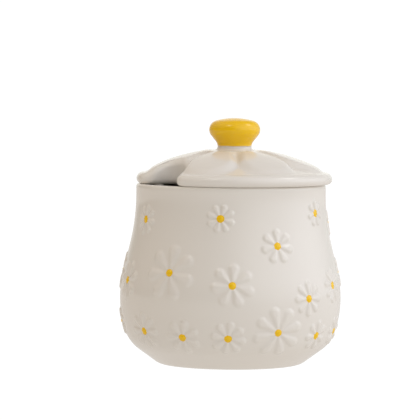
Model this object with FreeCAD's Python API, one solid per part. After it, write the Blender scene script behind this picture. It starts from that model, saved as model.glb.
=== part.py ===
"""A lidded honey pot in white glazed earthenware, with embossed daisies and a yellow knob.

Two fired pieces, each one solid:
  pot  a hollow slip-cast jar: straight collar, low wide belly, small flat foot, raised daisies outside
  lid  a shallow dome parted into broad petals inside a rounded rim band, with a notch for a dipper's
       handle, a locating ring underneath and a mushroom knob

Units are millimetres, +Z is up, and the origin is the middle of the foot, on the table.
Azimuths are in degrees, 0 towards -Y (the front) and 90 towards +X.
"""
import FreeCAD
import Part
import math
import os

from FreeCAD import Vector

# --- pot: the outside is a heel arc, a belly arc, a straight slope, a hollow flare and a collar ---
RIM_HEIGHT = 101.0            # top of the pot's rim, where the lid sits
RIM_RADIUS = 53.1             # outside of the collar
RIM_ROUND = 1.5               # glaze-softened edges of the rim
BELLY_RADIUS = 61.9           # widest, without the daisies
BELLY_HEIGHT = 37.0           # height of the widest place
BELLY_ARC = 58.5
HEEL_ARC = 27.0               # runs tangent from the flat foot into the belly
SLOPE = 13.0                  # lean of the straight stretch, in degrees from upright
FLARE_ARC = 115.0
WALL = 4.5                    # fired wall thickness
FLOOR = 6.0                   # thickness of the bottom
FLOOR_ARC = 20.0              # inside, from the floor into the belly

# --- daisies on the pot ------------------------------------------------------------------------
# azimuth, height, reach of the petals, number of petals, turn of the first petal from upright
FRONT_DAISIES = [
    (-60, 82, 8.5, 8, 10), (-6, 84, 8.0, 8, 18), (60, 86, 7.5, 7, 0), (27, 69, 10.0, 7, 0),
    (-34, 54, 16.0, 7, 6), (-69, 48, 11.5, 7, 20), (1, 48, 12.5, 7, 5), (67, 46, 10.0, 8, 12),
    (44, 40, 10.0, 8, 0), (-52, 21, 11.0, 8, 0), (-26, 19, 10.5, 7, 14), (-1, 19, 10.0, 8, 10),
    (26, 22, 15.0, 8, -15), (53, 19, 9.0, 7, 8), (75, 20, 9.0, 7, 20),
]
# the seam between the two halves of the mould carries four more
SEAM_DAISIES = [(92, 79, 7.5, 7, 5), (93, 52, 9.0, 8, 15), (-92, 52, 11.0, 8, 0), (-86, 24, 8.0, 7, 12)]
PETAL_WIDTH = 0.38            # a petal's full width, as a share of its daisy's reach
PETAL_PROUD = 0.85            # how far a petal stands out of the wall
PETAL_ROOT = 0.2              # where a petal's narrow end lies, as a share of the reach
PETAL_TAPER = 0.45            # roundness of the narrow end against the broad end
CENTRE_RADIUS = 2.1
CENTRE_PROUD = 0.9

# --- lid ---------------------------------------------------------------------------------------
LID_SHIFT = 1.8               # the lid lies this far to +X of the pot's axis, within its play
LID_RADIUS = 54.8
BAND_TOP = 107.4              # top of the rim band
BAND_UPPER_ROUND = 3.6
BAND_LOWER_ROUND = 2.6
CREST_RADIUS = 50.3           # where the petals end in a small step down to the band
CREST_ARC = 107.8             # the petals' crests lie on a dome of this radius
CREST_APEX = 121.1            # height of that dome on the axis
DOME_THICKNESS = 6.5
RING_DEPTH = 5.0              # locating ring under the lid, inside the pot's mouth
RING_WALL = 4.0
RING_PLAY = 1.0               # clearance left to the mouth on the side the lid lies towards

VALLEYS = 7                   # hollows that part the petals, one between each pair
VALLEY_TURN = 3.0             # azimuth of the first valley
VALLEY_START = 13.0           # distance from the axis where a valley begins, with no width
VALLEY_FOOT = 119.0           # height of its bottom there
VALLEY_ROUND = 10.5           # radius of the valley's hollow where it meets the band

NOTCH_AZIMUTH = -54.0
NOTCH_ROUND = 11.0            # rounded inner end of the notch
NOTCH_MIDDLE = 46.0           # distance of that round's centre from the lid's axis
NOTCH_CORNER = 8.0            # rounded corners where the notch meets the rim
NOTCH_WALL = 4.0              # wall that hangs round the notch, down to the level of the seat

NECK_RADIUS = 9.5             # narrowest
NECK_HEIGHT = 121.6           # height of the narrowest place
NECK_ARC = 5.0                # the hollow that opens above and below it
NECK_FOOT_ANGLE = 30.0        # how far round the hollow runs below, into the dome
KNOB_RADIUS = 14.3            # widest
KNOB_HEIGHT = 131.2           # height of the widest place
KNOB_TOP = 137.8
KNOB_TOP_ARC = 38.0

AXIS_FOOT = Vector(0, 0, 0)
UP = Vector(0, 0, 1)


def around(azimuth, radius, height):
    """The point at an azimuth, a distance from the axis and a height."""
    turn = math.radians(azimuth)
    return Vector(radius * math.sin(turn), -radius * math.cos(turn), height)


def line(start, end):
    """A straight edge between two (radius, height) pairs."""
    return Part.makeLine(Vector(start[0], 0, start[1]), Vector(end[0], 0, end[1]))


def arc(centre, radius, start_angle, end_angle):
    """A round edge about a (radius, height) pair, its angles counted from outwards towards up."""
    def spot(angle):
        turn = math.radians(angle)
        return Vector(centre[0] + radius * math.cos(turn), 0, centre[1] + radius * math.sin(turn))
    return Part.Arc(spot(start_angle), spot((start_angle + end_angle) / 2), spot(end_angle)).toShape()


def turned(edges):
    """The solid that a closed section makes when it turns about the Z axis."""
    return Part.Face(Part.Wire(edges)).revolve(AXIS_FOOT, UP, 360)


# --- the pot's wall ----------------------------------------------------------------------------
LEAN = math.radians(SLOPE)
BELLY_CENTRE = (BELLY_RADIUS - BELLY_ARC, BELLY_HEIGHT)


def heel_centre(belly_arc, round_radius, floor):
    """Centre of the round that joins a floor to the belly's arc, tangent to both."""
    drop = BELLY_HEIGHT - floor - round_radius
    return (BELLY_CENTRE[0] + math.sqrt((belly_arc - round_radius) ** 2 - drop ** 2), floor + round_radius)


def join_angle(centre):
    """Angle at the belly's centre of the place where the belly meets the round about centre."""
    return math.degrees(math.atan2(centre[1] - BELLY_CENTRE[1], centre[0] - BELLY_CENTRE[0]))


def wall_section(inset, floor, round_radius):
    """The wall's edges from the floor up to the collar, and the floor round's own radius."""
    belly_arc = BELLY_ARC - inset
    flare_arc = FLARE_ARC + inset
    collar = RIM_RADIUS - inset
    heel = heel_centre(belly_arc, round_radius, floor)
    slope_low = (BELLY_CENTRE[0] + belly_arc * math.cos(LEAN), BELLY_HEIGHT + belly_arc * math.sin(LEAN))
    slope_radius = collar + flare_arc * (1 - math.cos(LEAN))
    slope_high = (slope_radius, slope_low[1] + (slope_low[0] - slope_radius) / math.tan(LEAN))
    flare_top = slope_high[1] + flare_arc * math.sin(LEAN)
    edges = [
        line((0, floor), (heel[0], floor)),
        arc(heel, round_radius, -90, join_angle(heel)),
        arc(BELLY_CENTRE, belly_arc, join_angle(heel), SLOPE),
        line(slope_low, slope_high),
        arc((collar + flare_arc, flare_top), flare_arc, 180 + SLOPE, 180),
    ]
    return edges, slope_low[1], slope_high[1], flare_top


OUTER_EDGES, SLOPE_LOW, SLOPE_HIGH, FLARE_TOP = wall_section(0, 0, HEEL_ARC)


def wall_at(height):
    """The wall's outside radius at a height, and how far its face looks up, in radians."""
    heel = heel_centre(BELLY_ARC, HEEL_ARC, 0)
    join_height = BELLY_HEIGHT + BELLY_ARC * math.sin(math.radians(join_angle(heel)))
    if height < join_height:
        tilt = math.asin((height - heel[1]) / HEEL_ARC)
        return heel[0] + HEEL_ARC * math.cos(tilt), tilt
    if height < SLOPE_LOW:
        tilt = math.asin((height - BELLY_HEIGHT) / BELLY_ARC)
        return BELLY_CENTRE[0] + BELLY_ARC * math.cos(tilt), tilt
    tilt = math.asin(max(FLARE_TOP - height, 0) / FLARE_ARC)
    if height < SLOPE_HIGH:
        foot = RIM_RADIUS + FLARE_ARC * (1 - math.cos(LEAN))
        return foot + (SLOPE_HIGH - height) * math.tan(LEAN), LEAN
    return RIM_RADIUS + FLARE_ARC * (1 - math.cos(tilt)), tilt


def wall_face(azimuth, height):
    """A point of the wall's outside, and the direction in which the wall faces there."""
    radius, tilt = wall_at(height)
    return around(azimuth, radius, height), around(azimuth, math.cos(tilt), math.sin(tilt))


def sphere_under(spot, out, half_width, proud):
    """The sphere that stands proud of a face at a spot, over a round of the given half width."""
    radius = (half_width ** 2 + proud ** 2) / (2 * proud)
    return spot + out * (proud - radius), radius


def drop(narrow, narrow_radius, broad, broad_radius):
    """A drop, turned in one piece: a cone from its flat narrow end into a round broad end."""
    way = broad - narrow
    length = way.Length
    lean = math.asin((broad_radius - narrow_radius) / length)
    low = narrow_radius * math.cos(lean)
    meet = (broad_radius * math.cos(lean), length - broad_radius * math.sin(lean))
    shape = turned([
        line((0, 0), (low, 0)),
        line((low, 0), meet),
        arc((0, length), broad_radius, -math.degrees(lean), 90),
        line((0, length + broad_radius), (0, 0)),
    ])
    shape.Placement = FreeCAD.Placement(narrow, FreeCAD.Rotation(UP, way))
    return shape


def daisy(azimuth, height, reach, petals, turn):
    """The drop-shaped petals and the domed centre of one daisy, as solids that sink into the wall."""
    radius, tilt = wall_at(height)
    centre, centre_radius = sphere_under(*wall_face(azimuth, height), CENTRE_RADIUS, CENTRE_PROUD)
    pieces = [Part.makeSphere(centre_radius, centre)]
    half_width = reach * PETAL_WIDTH / 2
    for index in range(petals):
        angle = math.radians(turn + index * 360 / petals)
        ends = []
        for distance, share in ((reach * PETAL_ROOT, PETAL_TAPER), (reach - half_width, 1.0)):
            aside = distance * math.sin(angle)
            above = distance * math.cos(angle)
            spot, out = wall_face(azimuth + math.degrees(aside / radius), height + above * math.cos(tilt))
            ends += sphere_under(spot, out, half_width * share, PETAL_PROUD * share)
        pieces.append(drop(*ends))
    return pieces


def with_daisies(body):
    """The body with the front scatter, its mirror image on the back, and the daisies on the seam."""
    back = [(180 - azimuth, height, reach, petals, -turn)
            for azimuth, height, reach, petals, turn in FRONT_DAISIES]
    for row in FRONT_DAISIES + back + SEAM_DAISIES:
        before = body.Volume
        body = body.multiFuse(daisy(*row))
        print("daisy", row, "adds", round(body.Volume - before, 1), "mm3")
    return body


def make_pot():
    """The jar: its outside with the daisies, less the space inside."""
    round_low = RIM_HEIGHT - RIM_ROUND
    outside = turned(OUTER_EDGES + [
        line((RIM_RADIUS, FLARE_TOP), (RIM_RADIUS, round_low)),
        arc((RIM_RADIUS - RIM_ROUND, round_low), RIM_ROUND, 0, 90),
        line((RIM_RADIUS - RIM_ROUND, RIM_HEIGHT), (0, RIM_HEIGHT)),
        line((0, RIM_HEIGHT), (0, 0)),
    ])
    mouth = RIM_RADIUS - WALL
    inner_edges, slope_low, slope_high, flare_top = wall_section(WALL, FLOOR, FLOOR_ARC)
    cavity = turned(inner_edges + [
        line((mouth, flare_top), (mouth, round_low)),
        arc((mouth + RIM_ROUND, round_low), RIM_ROUND, 180, 90),
        line((mouth + RIM_ROUND, RIM_HEIGHT), (0, RIM_HEIGHT)),
        line((0, RIM_HEIGHT), (0, FLOOR)),
    ])
    return with_daisies(outside).cut(cavity)


# --- the lid -----------------------------------------------------------------------------------
def crest_height(radius):
    """Height of the dome on which the petals' crests lie."""
    return CREST_APEX - CREST_ARC + math.sqrt(CREST_ARC ** 2 - radius ** 2)


def valley_cutter(azimuth):
    """A cone lying along the straight bottom of a valley, pointed at the neck and broad at the band."""
    fall = math.atan2(VALLEY_FOOT - BAND_TOP, CREST_RADIUS - VALLEY_START)
    outwards = around(azimuth, 1, 0)
    along = outwards * math.cos(fall) - UP * math.sin(fall)
    above = outwards * math.sin(fall) + UP * math.cos(fall)
    length = (CREST_RADIUS - VALLEY_START) / math.cos(fall)
    apex = around(azimuth, VALLEY_START, VALLEY_FOOT)
    # the cone's axis rises off the valley's bottom line as its radius grows
    opening = math.asin(VALLEY_ROUND / length)
    axis = along * math.cos(opening) + above * math.sin(opening)
    return Part.makeCone(0, VALLEY_ROUND, length * math.cos(opening), apex, axis)


def notch_block(grow, low):
    """The notch in plan, a round bite with flared round corners, grown all round and made a block."""
    reach = LID_RADIUS - NOTCH_CORNER
    bite = NOTCH_ROUND + grow
    corner_round = NOTCH_CORNER - grow
    join = bite + corner_round
    along = (reach ** 2 + NOTCH_MIDDLE ** 2 - join ** 2) / (2 * NOTCH_MIDDLE)
    aside = math.sqrt(reach ** 2 - along ** 2)
    inner = Vector(NOTCH_MIDDLE, 0, 0)
    corners = [Vector(along, side * aside, 0) for side in (-1, 1)]
    # where the bite's round meets each corner's round, and where that corner meets the rim
    meets = [inner + (corner - inner) * (bite / join) for corner in corners]
    rims = [corner * ((reach + corner_round) / reach) for corner in corners]
    swells = []
    for corner, meet, rim in zip(corners, meets, rims):
        way = (meet - corner).normalize() + (rim - corner).normalize()
        swells.append(corner + way.normalize() * corner_round)
    beyond = [rim * 1.2 for rim in rims]
    edges = [
        Part.makeLine(beyond[0], rims[0]),
        Part.Arc(rims[0], swells[0], meets[0]).toShape(),
        Part.Arc(meets[0], inner - Vector(bite, 0, 0), meets[1]).toShape(),
        Part.Arc(meets[1], swells[1], rims[1]).toShape(),
        Part.makeLine(rims[1], beyond[1]),
        Part.makeLine(beyond[1], beyond[0]),
    ]
    block = Part.Face(Part.Wire(edges)).extrude(UP * (CREST_APEX - low))
    block.translate(UP * low)
    block.rotate(AXIS_FOOT, UP, NOTCH_AZIMUTH - 90)
    return block


def make_knob():
    """The turned knob and its neck: a hollow arc, a straight flank, a round edge and a low dome."""
    # the round edge is tangent to the top's arc and upright at the knob's widest place
    top_centre = KNOB_TOP - KNOB_TOP_ARC
    rise = KNOB_HEIGHT - top_centre
    edge = (KNOB_TOP_ARC ** 2 - KNOB_RADIUS ** 2 - rise ** 2) / (2 * (KNOB_TOP_ARC - KNOB_RADIUS))
    edge_centre = (KNOB_RADIUS - edge, KNOB_HEIGHT)
    neck_centre = (NECK_RADIUS + NECK_ARC, NECK_HEIGHT)
    # the flank is the line that touches the neck's hollow on one side and the edge on the other
    across = neck_centre[0] - edge_centre[0]
    above = edge_centre[1] - neck_centre[1]
    lean = math.asin((NECK_ARC + edge) / math.hypot(across, above)) - math.atan2(across, above)
    flank_low = (neck_centre[0] - NECK_ARC * math.cos(lean), neck_centre[1] + NECK_ARC * math.sin(lean))
    flank_high = (edge_centre[0] + edge * math.cos(lean), edge_centre[1] - edge * math.sin(lean))
    shoulder = math.degrees(math.atan2(rise, edge_centre[0]))
    # the neck's hollow runs on down into the dome
    down = math.radians(NECK_FOOT_ANGLE)
    foot = (neck_centre[0] - NECK_ARC * math.cos(down), neck_centre[1] - NECK_ARC * math.sin(down))
    return turned([
        line((0, foot[1]), foot),
        arc(neck_centre, NECK_ARC, 180 + NECK_FOOT_ANGLE, 180 - math.degrees(lean)),
        line(flank_low, flank_high),
        arc(edge_centre, edge, -math.degrees(lean), shoulder),
        arc((0, top_centre), KNOB_TOP_ARC, shoulder, 90),
        line((0, KNOB_TOP), (0, foot[1])),
    ])


def make_lid():
    """The lid: a turned dome with its knob, less the valleys, the space under it and the notch.

    The space under it stops short of the notch, which leaves a wall round the notch."""
    upper = (LID_RADIUS - BAND_UPPER_ROUND, BAND_TOP - BAND_UPPER_ROUND)
    lower = (LID_RADIUS - BAND_LOWER_ROUND, RIM_HEIGHT + BAND_LOWER_ROUND)
    ring_outer = RIM_RADIUS - WALL - LID_SHIFT - RING_PLAY
    ring_inner = ring_outer - RING_WALL
    ring_foot = RIM_HEIGHT - RING_DEPTH
    crest_centre = (0, CREST_APEX - CREST_ARC)
    crest_edge = math.degrees(math.acos(CREST_RADIUS / CREST_ARC))
    dome = turned([
        line((0, ring_foot), (ring_outer, ring_foot)),
        line((ring_outer, ring_foot), (ring_outer, RIM_HEIGHT)),
        line((ring_outer, RIM_HEIGHT), (lower[0], RIM_HEIGHT)),
        arc(lower, BAND_LOWER_ROUND, -90, 0),
        line((LID_RADIUS, lower[1]), (LID_RADIUS, upper[1])),
        arc(upper, BAND_UPPER_ROUND, 0, 90),
        line((upper[0], BAND_TOP), (CREST_RADIUS, BAND_TOP)),
        line((CREST_RADIUS, BAND_TOP), (CREST_RADIUS, crest_height(CREST_RADIUS))),
        arc(crest_centre, CREST_ARC, crest_edge, 90),
        line((0, CREST_APEX), (0, ring_foot)),
    ])
    under_arc = CREST_ARC - DOME_THICKNESS
    under_edge = (ring_inner, crest_centre[1] + math.sqrt(under_arc ** 2 - ring_inner ** 2))
    hollow = turned([
        line((0, ring_foot), (ring_inner, ring_foot)),
        line((ring_inner, ring_foot), under_edge),
        arc(crest_centre, under_arc, math.degrees(math.acos(ring_inner / under_arc)), 90),
        line((0, crest_centre[1] + under_arc), (0, ring_foot)),
    ])
    valleys = [valley_cutter(VALLEY_TURN + index * 360 / VALLEYS) for index in range(VALLEYS)]
    hollow = hollow.cut(notch_block(NOTCH_WALL, RIM_HEIGHT))
    notch = notch_block(0, RIM_HEIGHT - 2 * RING_DEPTH)
    lid = dome.cut(valleys).fuse(make_knob()).cut(hollow).cut(notch)
    lid.translate(Vector(LID_SHIFT, 0, 0))
    return lid


def write(name, shape):
    """Write one piece as a STEP file of one solid."""
    solid = shape.Solids[0]
    box = solid.BoundBox
    print(name, "solids", len(shape.Solids), "valid", solid.isValid(), "faces", len(solid.Faces),
          "cm3", round(solid.Volume / 1000, 1), "box", [round(value, 2) for value in (
              box.XMin, box.XMax, box.YMin, box.YMax, box.ZMin, box.ZMax)])
    solid.exportStep(os.path.join("parts", name + ".step"))


os.makedirs("parts", exist_ok=True)
write("lid", make_lid())
write("pot", make_pot())
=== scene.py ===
# %% [markdown]
# # A lidded honey pot with raised daisies
#
# The real pot is white earthenware, slip-cast in a plaster mould, fired, glazed and fired again.
# It is two pieces: a round-bellied jar covered in low daisies, and a domed lid parted into petals,
# with a notch for a dipper's handle and a yellow knob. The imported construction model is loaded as
# a fixed frame first, and everything below is modelled to its sizes and rides on its one body.

# %% Load the frame
import bpy
import math
from collections import Counter
from mathutils import Matrix, Vector


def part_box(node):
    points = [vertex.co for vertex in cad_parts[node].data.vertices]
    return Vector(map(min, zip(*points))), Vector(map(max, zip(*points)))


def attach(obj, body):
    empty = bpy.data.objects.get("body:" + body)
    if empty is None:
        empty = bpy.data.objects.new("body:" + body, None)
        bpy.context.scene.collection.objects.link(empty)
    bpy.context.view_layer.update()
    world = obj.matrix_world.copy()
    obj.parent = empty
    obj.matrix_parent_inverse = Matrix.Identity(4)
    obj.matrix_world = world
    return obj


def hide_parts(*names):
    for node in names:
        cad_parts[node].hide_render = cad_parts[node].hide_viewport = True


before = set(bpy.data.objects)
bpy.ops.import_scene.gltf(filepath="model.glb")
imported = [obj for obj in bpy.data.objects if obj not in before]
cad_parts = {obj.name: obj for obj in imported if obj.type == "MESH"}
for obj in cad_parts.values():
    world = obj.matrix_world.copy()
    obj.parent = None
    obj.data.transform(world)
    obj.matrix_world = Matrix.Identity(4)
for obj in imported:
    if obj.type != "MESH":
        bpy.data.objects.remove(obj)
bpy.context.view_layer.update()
MM = 0.001
pot_low, pot_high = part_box("pot")
lid_low, lid_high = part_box("lid")
print("pot is", [round((b - a) / MM, 1) for a, b in zip(pot_low, pot_high)], "mm")
print("lid is", [round((b - a) / MM, 1) for a, b in zip(lid_low, lid_high)], "mm")

# %% [markdown]
# ## Drawing a section
#
# A pot is a solid of revolution, so it starts as a drawn section: half of the shape that a saw
# cut would show. A section can be drawn point by point, but a mould maker draws it with straight
# lines and compass arcs, and the Spin tool does the same here: it swings a single vertex about an
# arc's centre and leaves the arc behind. So a section is one vertex that is led along by lines
# and arcs, with each arc's number of steps worked out from how fine the mesh should be.

# %% Helpers that draw a section from one vertex
def deselect_all():
    """Leave object mode with nothing selected, since operators act on all that is selected."""
    if bpy.context.object and bpy.context.object.mode != "OBJECT":
        bpy.ops.object.mode_set(mode="OBJECT")
    bpy.ops.object.select_all(action="DESELECT")


def start_section(name, radius, height):
    """One vertex at a radius and height on the +X side, left in edit mode."""
    deselect_all()
    place = Vector((radius, 0, height)) * MM
    bpy.ops.mesh.primitive_plane_add(size=MM, location=(0, 0, 0))
    piece = bpy.context.object
    piece.name = piece.data.name = name
    bpy.ops.object.mode_set(mode="EDIT")
    bpy.ops.mesh.select_mode(type="VERT")
    bpy.ops.mesh.select_all(action="SELECT")
    bpy.ops.mesh.merge(type="CENTER")
    bpy.ops.transform.translate(value=place)
    return piece


def draw_line(sideways, upwards, step):
    """Lead the selected vertex along a straight line, in equal steps no longer than step."""
    count = max(1, math.ceil(math.hypot(sideways, upwards) / step))
    for _ in range(count):
        move = Vector((sideways, 0, upwards)) * (MM / count)
        bpy.ops.mesh.extrude_region_move(TRANSFORM_OT_translate={"value": move})


def draw_arc(centre, radius, start_angle, end_angle, step):
    """Lead the selected vertex round an arc in the X-Z plane, angles counted from +X towards +Z."""
    turn = math.radians(end_angle - start_angle)
    count = max(2, math.ceil(abs(turn) * radius / step))
    bpy.ops.mesh.spin(steps=count, dupli=False, angle=turn, axis=(0, 1, 0),
                      center=Vector((centre[0], 0, centre[1])) * MM)


def turn_section(segments):
    """Spin the whole section once about the Z axis, close its seam and poles, face it outwards."""
    bpy.ops.mesh.select_all(action="SELECT")
    bpy.ops.mesh.spin(steps=segments, dupli=False, angle=math.tau, axis=(0, 0, 1), center=(0, 0, 0))
    bpy.ops.mesh.select_all(action="SELECT")
    bpy.ops.mesh.remove_doubles(threshold=MM / 100)
    bpy.ops.mesh.normals_make_consistent(inside=False)
    bpy.ops.object.mode_set(mode="OBJECT")


# %% [markdown]
# ## The jar's section
#
# The jar's outside is a flat foot, a small toe, a short cone, a round heel, a low wide belly, a
# straight slope, a hollow flare and an upright collar, each tangent to the next. The glaze rounds
# the rim. The outside is kept as a list of arcs and lines, because it is used twice: it is drawn,
# and later it tells where a daisy lies on the wall. All sizes are in mm.

# %% Sizes of the jar
RIM_HEIGHT = pot_high[2] / MM
RIM_RADIUS = 53.1
RIM_ROUND = 1.5
RIM_ROUND_STEPS = 3
BELLY_RADIUS = 61.9
BELLY_HEIGHT = 37.0
BELLY_ARC = 58.5
HEEL_ARC = 19.9
HEEL_TOP, HEEL_FOOT = -18.8, -54.0      # how far the heel looks down at its two ends, in degrees
TOE_ARC = 7.6
SLOPE = 13.0                    # lean of the straight stretch, in degrees from upright
FLARE_ARC = 115.0
WALL = 4.5
FLOOR = 6.0
FLOOR_ARC = 20.0
BELLY_CENTRE = (BELLY_RADIUS - BELLY_ARC, BELLY_HEIGHT)
SEGMENTS = 360
OUTER_STEP = 1.0                # the mesh is fine outside, where the daisies rise, and coarse elsewhere
INNER_STEP = 5.5
FLAT_STEP = 19.0


def on_arc(centre, radius, angle):
    """The point of an arc at an angle in degrees, counted from +X towards +Z."""
    turn = math.radians(angle)
    return centre[0] + radius * math.cos(turn), centre[1] + radius * math.sin(turn)


def upper_wall(inset):
    """The flare's centre, and the two ends of the slope, for the wall moved in by an inset."""
    flare = FLARE_ARC + inset
    slope_low = on_arc(BELLY_CENTRE, BELLY_ARC - inset, SLOPE)
    slope_radius = RIM_RADIUS - inset + flare * (1 - math.cos(math.radians(SLOPE)))
    slope_rise = (slope_low[0] - slope_radius) / math.tan(math.radians(SLOPE))
    slope_high = (slope_radius, slope_low[1] + slope_rise)
    flare_centre = (RIM_RADIUS + FLARE_ARC, slope_high[1] + flare * math.sin(math.radians(SLOPE)))
    return flare_centre, slope_low, slope_high


flare_centre, slope_low, slope_high = upper_wall(0)
heel_centre = on_arc(BELLY_CENTRE, BELLY_ARC - HEEL_ARC, HEEL_TOP)
cone_high = on_arc(heel_centre, HEEL_ARC, HEEL_FOOT)
toe_rise = TOE_ARC + TOE_ARC * math.sin(math.radians(HEEL_FOOT))
cone_low = (cone_high[0] - (cone_high[1] - toe_rise) / math.tan(math.radians(90 + HEEL_FOOT)), toe_rise)
foot_radius = cone_low[0] - TOE_ARC * math.cos(math.radians(HEEL_FOOT))
# each stretch of the outside from the foot up: its low end, its high end, an arc's centre and radius
outside = [
    ((foot_radius, 0.0), cone_low, (foot_radius, TOE_ARC), TOE_ARC),
    (cone_low, cone_high, None, 0.0),
    (cone_high, on_arc(BELLY_CENTRE, BELLY_ARC, HEEL_TOP), heel_centre, HEEL_ARC),
    (on_arc(BELLY_CENTRE, BELLY_ARC, HEEL_TOP), slope_low, BELLY_CENTRE, BELLY_ARC),
    (slope_low, slope_high, None, 0.0),
    (slope_high, (RIM_RADIUS, flare_centre[1]), flare_centre, FLARE_ARC),
    ((RIM_RADIUS, flare_centre[1]), (RIM_RADIUS, RIM_HEIGHT - RIM_ROUND), None, 0.0),
]
print("foot radius", round(foot_radius, 1), "mm, collar starts at", round(flare_centre[1], 1), "mm")

# %% Draw and turn the jar
def draw_jar():
    """The whole closed section, from the middle of the foot up the outside and down the inside."""
    piece = start_section("glazed_pot", 0, 0)
    draw_line(foot_radius, 0, FLAT_STEP)
    for low, high, centre, radius in outside:
        if centre is None:
            draw_line(high[0] - low[0], high[1] - low[1], OUTER_STEP)
            continue
        start, end = (math.degrees(math.atan2(spot[1] - centre[1], spot[0] - centre[0]))
                      for spot in (low, high))
        turn = (end - start + 180) % 360 - 180
        draw_arc(centre, radius, start, start + turn, OUTER_STEP)
    shoulder = RIM_HEIGHT - RIM_ROUND
    draw_arc((RIM_RADIUS - RIM_ROUND, shoulder), RIM_ROUND, 0, 90, RIM_ROUND / RIM_ROUND_STEPS)
    draw_line(2 * RIM_ROUND - WALL, 0, OUTER_STEP)
    draw_arc((RIM_RADIUS - WALL + RIM_ROUND, shoulder), RIM_ROUND, 90, 180, RIM_ROUND / RIM_ROUND_STEPS)
    inner_flare, inner_low, inner_high = upper_wall(WALL)
    inner_belly = BELLY_ARC - WALL
    drop = BELLY_HEIGHT - FLOOR - FLOOR_ARC
    across = math.sqrt((inner_belly - FLOOR_ARC) ** 2 - drop ** 2)
    floor_centre = (BELLY_CENTRE[0] + across, FLOOR + FLOOR_ARC)
    floor_join = -math.degrees(math.atan2(drop, across))
    draw_line(0, inner_flare[1] - shoulder, INNER_STEP)
    draw_arc(inner_flare, FLARE_ARC + WALL, 180, 180 + SLOPE, INNER_STEP)
    draw_line(inner_low[0] - inner_high[0], inner_low[1] - inner_high[1], INNER_STEP)
    draw_arc(BELLY_CENTRE, inner_belly, SLOPE, floor_join, INNER_STEP)
    draw_arc(floor_centre, FLOOR_ARC, floor_join, -90, INNER_STEP)
    draw_line(-floor_centre[0], 0, FLAT_STEP)
    turn_section(SEGMENTS)
    return piece


pot = draw_jar()
print("turned jar:", len(pot.data.polygons), "faces")

# %% [markdown]
# ## The raised daisies
#
# On the real jar the daisies are carved into the plaster mould, so each petal comes out as a soft
# pillow on the wall, and the glaze runs off its crest and rounds its foot. They could be laid on
# as separate little shells, but then each would meet the wall in a hard line. Here the wall itself
# rises: the faces under each daisy are subdivided, every vertex gets a weight from the distance to
# the nearest petal's outline, and a Displace modifier pushes the wall out along its own normal.

# %% Where the daisies are
# azimuth from the front towards the right, height, reach, number of petals, turn of the first petal
FRONT_DAISIES = [
    (-60, 82, 8.5, 8, 10), (-6, 84, 8.0, 8, 18), (60, 86, 7.5, 7, 0), (27, 69, 10.0, 7, 0),
    (-34, 54, 16.0, 7, 6), (-69, 48, 11.5, 7, 20), (1, 48, 12.5, 7, 5), (67, 46, 10.0, 8, 12),
    (44, 40, 10.0, 8, 0), (-52, 21, 11.0, 8, 0), (-26, 19, 10.5, 7, 14), (-1, 19, 10.0, 8, 10),
    (26, 22, 15.0, 8, -15), (53, 19, 9.0, 7, 8), (75, 20, 9.0, 7, 20),
]
SEAM_DAISIES = [(92, 79, 7.5, 7, 5), (93, 52, 9.0, 8, 15), (-92, 52, 11.0, 8, 0), (-86, 24, 8.0, 7, 12)]
PETAL_FILL = 0.56               # a petal's half width against the space that its neighbours leave
PETAL_PROUD = 0.78
PETAL_ROOT = 0.2
PETAL_TAPER = 0.35              # roundness of the narrow end against the broad end
PETAL_SIDE = 0.8                # share of the half width over which a petal rises
PETAL_FLARE = 0.25              # the glaze rounds a petal's foot this far beyond its outline
CENTRE_RADIUS = 2.1
CENTRE_PROUD = 0.78
CENTRE_SIDE = 0.8               # share of the middle's radius over which it rises
CENTRE_FLARE = 0.2
PILLOW_POWER = 1.3              # above 1, a pillow starts more gently from the wall
RELIEF_MARGIN = 0.5             # the wall starts to rise this far beyond a daisy's reach
ABOVE_FOOT = 1.0                # no daisy reaches lower than this height
FAR_FROM_MIDDLE = 5.0           # distances from a daisy's middle are kept up to this one
back_daisies = [(180 - azimuth, height, reach, petals, -turn)
                for azimuth, height, reach, petals, turn in FRONT_DAISIES]
daisies = FRONT_DAISIES + back_daisies + SEAM_DAISIES


def wall_at(height):
    """The outside's radius at a height, and the length of wall from the foot's edge up to it."""
    way = 0.0
    for low, high, centre, arc_radius in outside:
        reached = min(height, high[1])
        if centre is None:
            share = (reached - low[1]) / (high[1] - low[1])
            radius = low[0] + (high[0] - low[0]) * share
            way += math.dist(low, high) * share
        else:
            start, end = (math.asin((level - centre[1]) / arc_radius) for level in (low[1], reached))
            radius = centre[0] + math.copysign(arc_radius, low[0] - centre[0]) * math.cos(end)
            way += arc_radius * abs(end - start)
        if height <= high[1]:
            break
    return radius, way


def drop_depth(along, aside, narrow, narrow_radius, broad, broad_radius):
    """How far a point lies inside a drop's outline, two circles and the tangents between them."""
    length = broad - narrow
    slope = (broad_radius - narrow_radius) / length
    rise = math.sqrt(1 - slope * slope)
    aside = abs(aside)
    share = ((along - narrow) * rise + aside * slope) / (length * rise)
    share = min(max(share, 0.0), 1.0)
    centre = narrow + length * share
    radius = narrow_radius + (broad_radius - narrow_radius) * share
    return radius - math.hypot(along - centre, aside)


def pillow(depth, full_depth):
    """Height of a soft-edged pillow, 0 at its foot and 1 at its crest."""
    share = min(max(depth / full_depth, 0.0), 1.0)
    return math.sin(share * math.pi / 2) ** PILLOW_POWER


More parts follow.
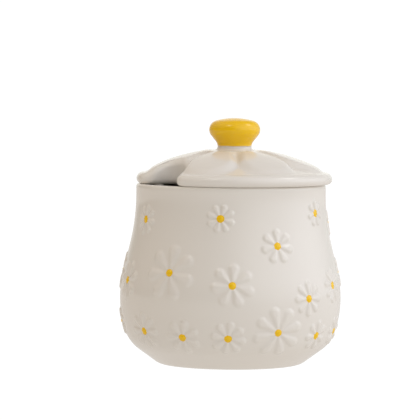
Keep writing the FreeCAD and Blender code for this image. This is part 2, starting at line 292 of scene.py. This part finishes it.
def daisy_height(sideways, upwards, daisy):
    """Height of the relief at a place on a daisy, as a share of a petal's full height."""
    reach, petals, turn = daisy[2:]
    half_width = reach * PETAL_FILL * math.sin(math.pi / petals)
    highest = 0.0
    for index in range(petals):
        angle = math.radians(turn + index * 360 / petals)
        along = sideways * math.sin(angle) + upwards * math.cos(angle)
        aside = sideways * math.cos(angle) - upwards * math.sin(angle)
        depth = drop_depth(along, aside, reach * PETAL_ROOT, half_width * PETAL_TAPER,
                           reach - half_width, half_width)
        highest = max(highest, pillow(depth + PETAL_FLARE, half_width * PETAL_SIDE))
    boss = CENTRE_RADIUS - math.hypot(sideways, upwards)
    middle = pillow(boss + CENTRE_FLARE, CENTRE_RADIUS * CENTRE_SIDE) * CENTRE_PROUD / PETAL_PROUD
    return max(highest, middle)


# %% Raise them out of the wall
spots = [(daisy, math.radians(daisy[0]), wall_at(daisy[1])[1]) for daisy in daisies]


def nearest_daisy(place):
    """The daisy nearest to a place, and where the place lies from it, in mm.

    Gives how far it is beyond the daisy's reach, sideways and upwards from its middle, and the daisy.
    """
    radius, way = wall_at(place[2] / MM)
    azimuth = math.atan2(place[0], -place[1])
    found = []
    for daisy, daisy_azimuth, daisy_way in spots:
        sideways = ((azimuth - daisy_azimuth + math.pi) % math.tau - math.pi) * radius
        upwards = way - daisy_way
        found.append((math.hypot(sideways, upwards) - daisy[2], sideways, upwards, daisy))
    return min(found)


def is_outside(place):
    """True on the jar's outer wall, away from the foot and the rim."""
    height = place[2] / MM
    if not ABOVE_FOOT < height < RIM_HEIGHT - RIM_ROUND:
        return False
    return math.hypot(place[0], place[1]) / MM > wall_at(height)[0] - WALL / 4


def raise_daisies(piece):
    """Subdivide the wall under the daisies, weigh its vertices and push them out.

    Each vertex also keeps its distance from the nearest daisy's middle, in mm, for the painter.
    """
    mesh = piece.data
    deselect_all()
    bpy.context.view_layer.objects.active = piece
    piece.select_set(True)
    bpy.ops.object.mode_set(mode="EDIT")
    bpy.ops.mesh.select_mode(type="FACE")
    bpy.ops.mesh.select_all(action="DESELECT")
    bpy.ops.object.mode_set(mode="OBJECT")
    for face in mesh.polygons:
        face.select = is_outside(face.center) and nearest_daisy(face.center)[0] < RELIEF_MARGIN
    bpy.ops.object.mode_set(mode="EDIT")
    bpy.ops.mesh.subdivide(number_cuts=1)
    bpy.ops.object.mode_set(mode="OBJECT")
    group = piece.vertex_groups.new(name="daisies")
    from_middle = [FAR_FROM_MIDDLE] * len(mesh.vertices)
    for vertex in mesh.vertices:
        if is_outside(vertex.co):
            beyond, sideways, upwards, daisy = nearest_daisy(vertex.co)
            if beyond < RELIEF_MARGIN:
                group.add([vertex.index], daisy_height(sideways, upwards, daisy), "REPLACE")
                from_middle[vertex.index] = min(math.hypot(sideways, upwards), FAR_FROM_MIDDLE)
    mesh.attributes.new("from_middle", "FLOAT", "POINT").data.foreach_set("value", from_middle)
    push = piece.modifiers.new("daisies", "DISPLACE")
    push.vertex_group = "daisies"
    push.mid_level = 0
    push.strength = PETAL_PROUD * MM
    bpy.ops.object.modifier_apply(modifier="daisies")


raise_daisies(pot)
pot.data.calc_loop_triangles()
print("jar with", len(daisies), "daisies:", len(pot.data.loop_triangles), "triangles")


# %% [markdown]
# ## The lid's outline
#
# The lid is a round slab with a bite out of its edge, where the dipper's handle leaves. Seen from
# above, its outline is four arcs: the rim, the round inner end of the notch, and a flared corner
# on either side, all tangent. The Spin tool swings a vertex round them one by one, about upright
# axes this time, with the notch first laid along +X. A boolean cut would be quicker to write, but
# it leaves a sharp edge that can't be rounded well, and a glazed edge is never sharp.

# %% Sizes of the lid
LID_SHIFT = 1.8                 # the lid lies this far to +X, within its play in the mouth
LID_RADIUS = 54.8
BAND_HEIGHT = 6.4               # upright rim band, from the seat on the jar to the petals' ends
BAND_UPPER_ROUND = 3.6
BAND_LOWER_ROUND = 2.6
BAND_UPRIGHT = BAND_HEIGHT - BAND_UPPER_ROUND - BAND_LOWER_ROUND
NOTCH_AZIMUTH = -54.0
NOTCH_ROUND = 11.0
NOTCH_MIDDLE = 46.0
NOTCH_CORNER = 8.0
RIM_STEPS, NOTCH_STEPS, CORNER_STEPS = 344, 36, 20
AROUND = RIM_STEPS + NOTCH_STEPS + 2 * CORNER_STEPS
UPPER_ROUND_STEPS, LOWER_ROUND_STEPS = 7, 5
UPPER_RINGS, LOWER_RINGS = 45, 30
lid_axis = Vector((LID_SHIFT, 0, 0)) * MM


def swing(centre, degrees, steps):
    """Lead the selected vertex round an upright axis, counter-clockwise as seen from above."""
    bpy.ops.mesh.spin(steps=steps, dupli=False, angle=-math.radians(degrees), axis=(0, 0, 1),
                      center=Vector((centre[0], centre[1], 0)) * MM)


def draw_lid_outline(name):
    """The closed outline as one face at height 0, its notch towards +X, left in edit mode."""
    reach = LID_RADIUS - NOTCH_CORNER
    join = NOTCH_ROUND + NOTCH_CORNER
    along = (reach ** 2 + NOTCH_MIDDLE ** 2 - join ** 2) / (2 * NOTCH_MIDDLE)
    aside = math.sqrt(reach ** 2 - along ** 2)
    rim_turn = math.degrees(math.atan2(aside, along))
    bite_turn = math.degrees(math.atan2(aside, NOTCH_MIDDLE - along))
    piece = start_section(name, 0, 0)
    rim_start = Vector((along, -aside, 0)) * (LID_RADIUS / reach * MM)
    bpy.ops.transform.translate(value=rim_start)
    corner_turn = rim_turn + bite_turn
    swing((along, -aside), corner_turn, CORNER_STEPS)
    swing((NOTCH_MIDDLE, 0), -2 * bite_turn, NOTCH_STEPS)
    swing((along, aside), corner_turn, CORNER_STEPS)
    swing((0, 0), 360 - 2 * rim_turn, RIM_STEPS)
    bpy.ops.mesh.select_all(action="SELECT")
    bpy.ops.mesh.remove_doubles(threshold=MM / 100)
    bpy.ops.mesh.edge_face_add()
    print("notch spans", round(2 * rim_turn, 1), "degrees of the rim")
    return piece


# %% [markdown]
# ## From outline to slab
#
# The outline becomes a slab with soft edges, as clay cut to a template and sponged round. Inset
# with a depth moves a face's edge in and its middle out in one go, so a few of them in the
# proportions of a quarter circle make a round. The flat faces are then opened and bridged to a
# small ring in the middle, in rings about a millimetre apart, which gives the clay enough points
# to be shaped.

# %% Helpers for the slab
def round_edge(radius, steps):
    """Round the selected face's edge by insets along a quarter circle."""
    for step in range(steps):
        low = math.pi / 2 * step / steps
        high = math.pi / 2 * (step + 1) / steps
        bpy.ops.mesh.inset(thickness=radius * (math.cos(low) - math.cos(high)) * MM,
                           depth=radius * (math.sin(high) - math.sin(low)) * MM)


def select_open_edges(piece, height):
    """Select the edges at a height that have less than two faces, and nothing else."""
    bpy.ops.mesh.select_mode(type="EDGE")
    bpy.ops.mesh.select_all(action="DESELECT")
    bpy.ops.object.mode_set(mode="OBJECT")
    mesh = piece.data
    uses = Counter(mesh.loops[index].edge_index
                   for face in mesh.polygons for index in face.loop_indices)
    for edge in mesh.edges:
        ends = [mesh.vertices[index].co.z for index in edge.vertices]
        at_height = max(abs(end - height * MM) for end in ends) < MM / 100
        edge.select = uses[edge.index] < 2 and at_height
    bpy.ops.object.mode_set(mode="EDIT")


def open_and_bridge(piece, height, ring_radius, cuts):
    """Take the selected face out and bridge its edge to a ring about the axis at the same height."""
    bpy.ops.mesh.delete(type="ONLY_FACE")
    bpy.ops.mesh.primitive_circle_add(vertices=AROUND, radius=ring_radius * MM,
                                      location=(0, 0, height * MM))
    select_open_edges(piece, height)
    bpy.ops.mesh.bridge_edge_loops(type="SINGLE", number_cuts=cuts, interpolation="LINEAR")


def select_face_at(piece, height):
    """Select the one large face that lies at a height, and nothing else."""
    bpy.ops.mesh.select_mode(type="FACE")
    bpy.ops.mesh.select_all(action="DESELECT")
    bpy.ops.object.mode_set(mode="OBJECT")
    large = [face for face in piece.data.polygons if len(face.vertices) == AROUND]
    closest = min(large, key=lambda face: abs(face.center.z - height * MM))
    closest.select = True
    piece.data.polygons.active = closest.index
    bpy.ops.object.mode_set(mode="EDIT")


# %% Make the slab
HUB_RADIUS = 11.8               # where the knob's foot takes over from the petals


def make_slab():
    """A slab of the lid's outline with rounded edges, and a hole above for the knob."""
    piece = draw_lid_outline("glazed_lid")
    bpy.ops.mesh.extrude_region_move(TRANSFORM_OT_translate={"value": (0, 0, BAND_UPRIGHT * MM)})
    bpy.ops.mesh.select_all(action="SELECT")
    bpy.ops.mesh.normals_make_consistent(inside=False)
    select_face_at(piece, BAND_UPRIGHT)
    round_edge(BAND_UPPER_ROUND, UPPER_ROUND_STEPS)
    open_and_bridge(piece, BAND_UPRIGHT + BAND_UPPER_ROUND, HUB_RADIUS, UPPER_RINGS)
    select_face_at(piece, 0)
    round_edge(BAND_LOWER_ROUND, LOWER_ROUND_STEPS)
    open_and_bridge(piece, -BAND_LOWER_ROUND, HUB_RADIUS / 4, LOWER_RINGS)
    select_open_edges(piece, -BAND_LOWER_ROUND)
    bpy.ops.mesh.merge(type="CENTER")
    bpy.ops.object.mode_set(mode="OBJECT")
    size = [round(side / MM, 1) for side in piece.dimensions]
    print("slab:", len(piece.data.polygons), "faces,", size, "mm")
    return piece


lid = make_slab()

# %% [markdown]
# ## Shaping the petals
#
# The lid's top is a shallow dome that a mould has parted into seven broad petals, like one large
# daisy. Each petal is a drop, narrow at the knob and round at the rim, domed across, with a crease
# where two petals meet and a small sunk wedge where their round ends part. The slab's thickness
# is measured again at every point: its lower face goes to the dome's inside and its upper face to
# the petals, and what lies between keeps its share, so that the rounded edges stay round.

# %% Heights of the lid's two faces
CREST_ARC = 107.8               # the petals' crests lie on a dome of this radius
CREST_APEX = 121.1
DOME_THICKNESS = 6.5
NOTCH_WALL = 4.0                # the notch's sides go down to the jar's rim as a wall this thick
PETALS = 7
FIRST_VALLEY = 3.0              # azimuth of the crease between the front two petals
# how far out the middles of a petal's two round ends lie, and their radii
PETAL_BROAD, PETAL_BROAD_ROUND = 35.3, 16.2
PETAL_NARROW, PETAL_NARROW_ROUND = 9.0, 4.1
PETAL_EDGE = 5.5                # a petal rises to its full height within this far of its outline
HUB_HEIGHT = 119.6              # the petals run level into the knob's foot at this height
HUB_BLEND = 9.0
# the ground between the petals falls straight from the hub to the rim
GROUND_HUB, GROUND_RIM = 119.0, 107.4
GROUND_INNER, GROUND_OUTER = 13.0, 50.3
RING_PLAY = 1.0                 # between the locating ring and the jar's mouth, on the tight side
RING_OUTER = RIM_RADIUS - WALL - LID_SHIFT - RING_PLAY
RING_WALL = 4.0
RING_DEPTH = 5.0
BAND_TOP = RIM_HEIGHT + BAND_HEIGHT


def blend(low, high, share):
    """A smooth change from low to high as share goes from 0 to 1."""
    share = min(max(share, 0.0), 1.0)
    return low + (high - low) * share * share * (3 - 2 * share)


def lid_top(along_notch, across_notch):
    """Height of the lid's upper face, in mm, at a place in the lid's own frame."""
    radius = math.hypot(along_notch, across_notch)
    azimuth = NOTCH_AZIMUTH + math.degrees(math.atan2(across_notch, along_notch))
    pitch = 360 / PETALS
    from_middle = math.radians((azimuth - FIRST_VALLEY) % pitch - pitch / 2)
    depth = drop_depth(radius * math.cos(from_middle), radius * math.sin(from_middle),
                       PETAL_NARROW, PETAL_NARROW_ROUND, PETAL_BROAD, PETAL_BROAD_ROUND)
    share = (radius - GROUND_INNER) / (GROUND_OUTER - GROUND_INNER)
    share = min(max(share, 0.0), 1.0)
    ground = GROUND_HUB + (GROUND_RIM - GROUND_HUB) * share
    crest = CREST_APEX - CREST_ARC + math.sqrt(CREST_ARC ** 2 - radius ** 2)
    petal = ground + max(crest - ground, 0) * pillow(depth, PETAL_EDGE)
    return blend(HUB_HEIGHT, petal, (radius - HUB_RADIUS) / HUB_BLEND)


def lid_under(along_notch, across_notch):
    """Height of the lid's lower face: the seat outside the locating ring, the dome inside it."""
    radius = math.hypot(along_notch, across_notch)
    dome_arc = CREST_ARC - DOME_THICKNESS
    dome = CREST_APEX - CREST_ARC + math.sqrt(dome_arc ** 2 - min(radius, RING_OUTER) ** 2)
    dome = blend(dome, RIM_HEIGHT, (radius - RING_OUTER + RING_WALL) / RING_WALL)
    from_notch = math.hypot(along_notch - NOTCH_MIDDLE, across_notch) - NOTCH_ROUND
    return blend(RIM_HEIGHT, dome, (from_notch - NOTCH_WALL) / NOTCH_WALL)


def shape_lid(piece):
    """Move every vertex of the flat slab to its height, then turn the notch to its side.

    Where the lid is thicker than the slab, the rounded edges keep their size and the upright
    stretch between them grows. Where it is thinner, the whole edge is pressed together.
    """
    for vertex in piece.data.vertices:
        x, y, z = vertex.co / MM
        under, top = lid_under(x, y), lid_top(x, y)
        above = z + BAND_LOWER_ROUND
        if top - under < BAND_HEIGHT:
            height = under + (top - under) * above / BAND_HEIGHT
        elif z < BAND_UPRIGHT / 2:
            height = under + above
        else:
            height = top - BAND_HEIGHT + above
        vertex.co.z = height * MM
    turn = Matrix.Rotation(math.radians(NOTCH_AZIMUTH - 90), 4, "Z")
    piece.data.transform(Matrix.Translation(lid_axis) @ turn)


shape_lid(lid)
highest = max(vertex.co.z for vertex in lid.data.vertices) / MM
print("lid's petals reach from", round(BAND_TOP, 1), "to", round(highest, 1), "mm")

# %% [markdown]
# ## The knob
#
# The knob is a small mushroom: a hollow neck, a flank that leans out, a rounded edge and a low
# dome. It is cast in one with the lid, so it is a section of arcs turned about the lid's axis,
# joined to the lid's mesh, and welded to the ring of points that the petals leave open around it.

# %% Draw, turn and join the knob
NECK_RADIUS = 9.5
NECK_HEIGHT = 121.6
NECK_ARC = 5.0
KNOB_RADIUS = 14.3
KNOB_HEIGHT = 131.2
KNOB_TOP = lid_high[2] / MM - 0.02      # just inside the frame's own top
KNOB_TOP_ARC = 38.0
KNOB_STEP, KNOB_TOP_STEP = 0.6, 0.8


def make_knob(foot_height):
    """The knob's closed skin, open at its foot, with as many segments as the lid."""
    top_centre = KNOB_TOP - KNOB_TOP_ARC
    rise = KNOB_HEIGHT - top_centre
    edge = (KNOB_TOP_ARC ** 2 - KNOB_RADIUS ** 2 - rise ** 2) / (2 * (KNOB_TOP_ARC - KNOB_RADIUS))
    edge_centre = (KNOB_RADIUS - edge, KNOB_HEIGHT)
    neck_centre = (NECK_RADIUS + NECK_ARC, NECK_HEIGHT)
    across = neck_centre[0] - edge_centre[0]
    above = edge_centre[1] - neck_centre[1]
    lean = math.asin((NECK_ARC + edge) / math.hypot(across, above)) - math.atan2(across, above)
    lean_angle = math.degrees(lean)
    shoulder = math.degrees(math.atan2(rise, edge_centre[0]))
    foot_round = HUB_RADIUS - NECK_RADIUS
    piece = start_section("knob", HUB_RADIUS, foot_height)
    draw_arc((HUB_RADIUS, foot_height + foot_round), foot_round, 270, 180, KNOB_STEP)
    draw_line(0, NECK_HEIGHT - foot_height - foot_round, KNOB_STEP)
    draw_arc(neck_centre, NECK_ARC, 180, 180 - lean_angle, KNOB_STEP)
    flank_across = across - (NECK_ARC + edge) * math.cos(lean)
    flank_up = above - (NECK_ARC + edge) * math.sin(lean)
    draw_line(-flank_across, flank_up, KNOB_TOP_STEP)
    draw_arc(edge_centre, edge, -lean_angle, shoulder, KNOB_STEP)
    draw_arc((0, top_centre), KNOB_TOP_ARC, shoulder, 90, KNOB_TOP_STEP)
    turn_section(AROUND)
    piece.data.transform(Matrix.Translation(lid_axis))
    return piece


def add_knob(piece):
    """Join the knob to the lid and weld the two along the open ring around its foot."""
    knob = make_knob(HUB_HEIGHT)
    deselect_all()
    knob.select_set(True)
    piece.select_set(True)
    bpy.context.view_layer.objects.active = piece
    bpy.ops.object.join()
    bpy.ops.object.mode_set(mode="EDIT")
    bpy.ops.mesh.select_all(action="SELECT")
    bpy.ops.mesh.remove_doubles(threshold=MM / 50)
    bpy.ops.mesh.normals_make_consistent(inside=False)
    bpy.ops.object.mode_set(mode="OBJECT")
    print("lid with knob:", len(piece.data.polygons), "faces")


add_knob(lid)

# %% [markdown]
# ## The locating ring
#
# Under the lid a low ring keeps it centred in the jar's mouth. It stops at the notch. It is a
# small section spun part of the way round, with its ends filled, and its top is sunk in the lid.

# %% Spin the ring
RING_GAP = 16.0                 # the ring stops this many degrees to either side of the notch
RING_SUNK = 2.0                 # its top is sunk this far into the lid
RING_ROUND = 1.2
RING_STEPS = 110


def make_ring():
    """The C-shaped ring, its notch side open."""
    deselect_all()
    height = RING_DEPTH + RING_SUNK
    middle = Vector((RING_OUTER - RING_WALL / 2, 0, RIM_HEIGHT - RING_DEPTH + height / 2)) * MM
    bpy.ops.mesh.primitive_plane_add(size=1, location=(0, 0, 0))
    piece = bpy.context.object
    piece.name = piece.data.name = "locating_ring"
    bpy.ops.object.mode_set(mode="EDIT")
    bpy.ops.mesh.select_all(action="SELECT")
    bpy.ops.transform.resize(value=(RING_WALL * MM, height * MM, 1))
    bpy.ops.transform.rotate(value=-math.pi / 2, orient_axis="X", center_override=(0, 0, 0))
    bpy.ops.transform.translate(value=middle)
    bpy.ops.mesh.bevel(offset=RING_ROUND * MM, segments=3, affect="VERTICES")
    bpy.ops.mesh.select_all(action="SELECT")
    spin_start = Matrix.Rotation(math.radians(RING_GAP), 4, "Z")
    bpy.ops.object.mode_set(mode="OBJECT")
    piece.data.transform(spin_start)
    bpy.ops.object.mode_set(mode="EDIT")
    bpy.ops.mesh.spin(steps=RING_STEPS, dupli=False, angle=-math.radians(360 - 2 * RING_GAP),
                      axis=(0, 0, 1), center=(0, 0, 0))
    bpy.ops.mesh.select_all(action="SELECT")
    bpy.ops.mesh.normals_make_consistent(inside=False)
    bpy.ops.object.mode_set(mode="OBJECT")
    turn = Matrix.Rotation(math.radians(NOTCH_AZIMUTH - 90), 4, "Z")
    piece.data.transform(Matrix.Translation(lid_axis) @ turn)
    return piece


ring = make_ring()
print("locating ring", [round(v / MM, 1) for v in ring.dimensions], "mm")

# %% [markdown]
# ## Materials
#
# Everything here is one material with two colours of glaze. White earthenware is a fine, slightly
# porous clay that fires to a warm off-white, and a clear lead-free glaze gives it a coat like thick
# glass. The clay scatters light and sets the colour, and the coat gives the sharp highlights and
# the mirror-like strip at a grazing angle. The yellow is an opaque underglaze laid on with a brush:
# a dot on each daisy, and the knob down to its neck. A brushed edge is never quite true, so a
# little noise, measured in millimetres, moves it.

# %% Helpers for materials
def linear(hex_colour):
    """A hex sRGB colour as linear RGBA."""
    channels = [int(hex_colour[index:index + 2], 16) / 255 for index in (1, 3, 5)]
    return [c / 12.92 if c <= 0.04045 else ((c + 0.055) / 1.055) ** 2.4 for c in channels] + [1.0]


def add_node(tree, kind, inputs, **settings):
    """Add a shader node with its settings; an input is a number, a colour or an output to link."""
    made = tree.nodes.new(kind)
    for name, value in settings.items():
        setattr(made, name, value)
    for name, value in inputs.items():
        if isinstance(value, bpy.types.NodeSocket):
            tree.links.new(value, made.inputs[name])
        else:
            made.inputs[name].default_value = value
    return made


# %% Glazed earthenware with a painted part
CLAY_WHITE = "#ece7df"          # off-white under clear glaze
UNDERGLAZE_YELLOW = "#fccb00"   # warm egg yellow
GLAZE_IOR = 1.5
GLAZE_ROUGHNESS = 0.05
CLAY_ROUGHNESS = 0.6


def glazed_earthenware(name, measure, edge, softness, waver, wave_length):
    """White earthenware, painted yellow where a measure in mm is past an edge.

    measure(tree, place) gives the output that holds the measure. The edge is softness mm wide to
    either side and wavers by waver mm over wave_length mm.
    """
    material = bpy.data.materials.new(name)
    material.use_nodes = True
    tree = material.node_tree
    shader = tree.nodes["Principled BSDF"]
    place = add_node(tree, "ShaderNodeTexCoord", {}).outputs["Object"]
    noise = add_node(tree, "ShaderNodeTexNoise",
                     {"Vector": place, "Scale": 1 / (wave_length * MM), "Detail": 1.0})
    shift = add_node(tree, "ShaderNodeMath", {0: noise.outputs["Fac"], 1: 2 * waver, 2: -waver},
                     operation="MULTIPLY_ADD")
    wavered = add_node(tree, "ShaderNodeMath", {0: measure(tree, place), 1: shift.outputs[0]},
                       operation="ADD")
    painted = add_node(tree, "ShaderNodeMapRange",
                       {"Value": wavered.outputs[0],
                        "From Min": edge - softness, "From Max": edge + softness},
                       interpolation_type="SMOOTHSTEP")
    colour = add_node(tree, "ShaderNodeMix",
                      {"Factor": painted.outputs[0],
                       6: linear(CLAY_WHITE), 7: linear(UNDERGLAZE_YELLOW)},   # its colour sockets
                      data_type="RGBA")
    tree.links.new(colour.outputs[2], shader.inputs["Base Color"])
    shader.inputs["Roughness"].default_value = CLAY_ROUGHNESS
    # all gloss is the glaze's, none the clay's
    shader.inputs["Specular IOR Level"].default_value = 0.0
    shader.inputs["Coat Weight"].default_value = 1.0
    shader.inputs["Coat Roughness"].default_value = GLAZE_ROUGHNESS
    shader.inputs["Coat IOR"].default_value = GLAZE_IOR
    return material


def inside_dot(tree, place):
    """How far a place lies inside its daisy's painted dot, from the distances kept on the wall."""
    distance = add_node(tree, "ShaderNodeAttribute", {}, attribute_name="from_middle").outputs["Fac"]
    return add_node(tree, "ShaderNodeMath", {0: DOT_RADIUS, 1: distance},
                    operation="SUBTRACT").outputs[0]


def above_foot(tree, place):
    """Height of a place in mm."""
    height = add_node(tree, "ShaderNodeSeparateXYZ", {"Vector": place}).outputs["Z"]
    return add_node(tree, "ShaderNodeMath", {0: height, 1: 1 / MM}, operation="MULTIPLY").outputs[0]


# %% Glaze the pieces
DOT_RADIUS = 2.15
YELLOW_LINE = 122.3             # the knob's yellow ends at this height on its neck
white_glaze = glazed_earthenware("white_glaze_with_yellow_dots", inside_dot, edge=0.0,
                                 softness=0.18, waver=0.25, wave_length=2.9)
lid_glaze = glazed_earthenware("white_glaze_with_yellow_knob", above_foot, edge=YELLOW_LINE,
                               softness=0.25, waver=0.5, wave_length=8.0)
for piece, glaze in ((pot, white_glaze), (lid, lid_glaze), (ring, lid_glaze)):
    piece.data.materials.clear()
    piece.data.materials.append(glaze)
    deselect_all()
    bpy.context.view_layer.objects.active = piece
    piece.select_set(True)
    bpy.ops.object.shade_smooth()
print("glazed", pot.name, lid.name, "in", CLAY_WHITE, "and", UNDERGLAZE_YELLOW)

# %% Ride on the frame
deselect_all()
lid.select_set(True)
ring.select_set(True)
bpy.context.view_layer.objects.active = lid
bpy.ops.object.join()
for piece, cad_node, slot in ((pot, "pot", "white_glaze"), (lid, "lid", "lid_glaze")):
    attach(piece, "root")
    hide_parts(cad_node)

# %% [markdown]
# ## Floor, light and camera
#
# The pot stands in a white light tent, on a sheet of white acrylic lit from below. A tent gives
# soft light from all round, so it is built as a world instead of lamps: each glow has a direction,
# a spread, a strength and a tint, and they add up. The daylight side is the upper right, the warm
# side the left, and the camera's side is dim, which leaves the pot a little darker than the white
# behind it. Two small windows give the crisp highlights. Seen straight, the tent and the floor are
# plain white, as a studio leaves them.

# %% The tent's glows
# azimuth from the front towards the right, elevation, spread (higher is narrower), strength, tint
DAYLIGHT = (0.98, 1.0, 1.1)
NEUTRAL = (1.0, 1.0, 0.95)
WARM = (1.05, 0.9, 0.75)
TENT_GLOWS = [
    (60, 45, 4, 1.0, DAYLIGHT),
    (90, 8, 6, 1.0, DAYLIGHT),
    (30, 8, 6, 0.85, NEUTRAL),
    (120, 8, 6, 0.55, NEUTRAL),
    (180, 8, 6, 1.0, NEUTRAL),
    (240, 45, 4, 0.7, WARM),
    (300, 45, 4, 0.5, WARM),
    # the two windows
    (-35, 55, 120, 4.0, NEUTRAL),
    (95, 50, 120, 4.5, NEUTRAL),
]
FLOOR_GLOW = (0.74, 0.7, 0.66, 1.0)
PLAIN_WHITE = 1.05              # a little over white, so that nothing of it is left grey


def light_tent(glows):
    """A world that is the sum of soft glows, and plain white to the camera."""
    world = bpy.data.worlds.new("light_tent")
    world.use_nodes = True
    tree = world.node_tree
    tree.nodes.clear()
    direction = add_node(tree, "ShaderNodeTexCoord", {}).outputs["Generated"]
    total = (0.0, 0.0, 0.0)
    for azimuth, elevation, spread, strength, tint in glows:
        turn, rise = math.radians(azimuth), math.radians(elevation)
        axis = (math.sin(turn) * math.cos(rise), -math.cos(turn) * math.cos(rise), math.sin(rise))
        colour = tuple(strength * channel for channel in tint)
        facing = add_node(tree, "ShaderNodeVectorMath", {0: direction, 1: axis},
                          operation="DOT_PRODUCT")
        kept = add_node(tree, "ShaderNodeMath", {0: facing.outputs["Value"], 1: 0.0},
                        operation="MAXIMUM")
        fall = add_node(tree, "ShaderNodeMath", {0: kept.outputs[0], 1: float(spread)},
                        operation="POWER")
        glow = add_node(tree, "ShaderNodeVectorMath", {0: colour, "Scale": fall.outputs[0]},
                        operation="SCALE")
        summed = add_node(tree, "ShaderNodeVectorMath", {0: total, 1: glow.outputs[0]},
                          operation="ADD")
        total = summed.outputs[0]
    tent = add_node(tree, "ShaderNodeBackground", {"Color": total})
    plain = add_node(tree, "ShaderNodeBackground",
                     {"Strength": PLAIN_WHITE, "Color": (1.0, 1.0, 1.0, 1.0)})
    seen = add_node(tree, "ShaderNodeLightPath", {}).outputs["Is Camera Ray"]
    shown = add_node(tree, "ShaderNodeMixShader",
                     {0: seen, 1: tent.outputs[0], 2: plain.outputs[0]})
    add_node(tree, "ShaderNodeOutputWorld", {"Surface": shown.outputs[0]})
    return world


bpy.context.scene.world = light_tent(TENT_GLOWS)
bpy.context.scene.view_settings.view_transform = "Standard"
print("light tent with", len(TENT_GLOWS), "glows")

# %% The lit floor
FLOOR_SIZE = 6                  # metres
deselect_all()
bpy.ops.mesh.primitive_plane_add(size=FLOOR_SIZE, location=(0, 0, 0))
floor = bpy.context.object
floor.name = floor.data.name = "floor"
acrylic = bpy.data.materials.new("lit_white_acrylic")
acrylic.use_nodes = True
acrylic.node_tree.nodes.clear()
glow = add_node(acrylic.node_tree, "ShaderNodeEmission", {"Color": FLOOR_GLOW})
plain = add_node(acrylic.node_tree, "ShaderNodeEmission", {"Strength": PLAIN_WHITE})
seen = add_node(acrylic.node_tree, "ShaderNodeLightPath", {}).outputs["Is Camera Ray"]
shown = add_node(acrylic.node_tree, "ShaderNodeMixShader",
                 {0: seen, 1: glow.outputs[0], 2: plain.outputs[0]})
add_node(acrylic.node_tree, "ShaderNodeOutputMaterial", {"Surface": shown.outputs[0]})
floor.data.materials.append(acrylic)

# %% Camera
CAMERA_PLACE = Vector((0, -1.8, 0.179))         # a little over the knob, from a long way off
CAMERA_DOWN, CAMERA_LEFT, CAMERA_ROLL = (math.radians(angle) for angle in (2.957, 0.373, 0.4))
SENSOR_WIDTH, FOCAL_LENGTH = 36, 275.5
camera_data = bpy.data.cameras.new("camera")
camera_data.sensor_width = SENSOR_WIDTH
camera_data.lens = FOCAL_LENGTH
camera = bpy.data.objects.new("camera", camera_data)
ahead = Vector((-math.sin(CAMERA_LEFT) * math.cos(CAMERA_DOWN),
                math.cos(CAMERA_LEFT) * math.cos(CAMERA_DOWN), -math.sin(CAMERA_DOWN)))
level_right = ahead.cross(Vector((0, 0, 1))).normalized()
level_up = level_right.cross(ahead)
right = level_right * math.cos(CAMERA_ROLL) + level_up * math.sin(CAMERA_ROLL)
up = level_up * math.cos(CAMERA_ROLL) - level_right * math.sin(CAMERA_ROLL)
facing = Matrix((right, up, -ahead)).transposed().to_4x4()
camera.matrix_world = Matrix.Translation(CAMERA_PLACE) @ facing
bpy.context.collection.objects.link(camera)
bpy.context.scene.camera = camera
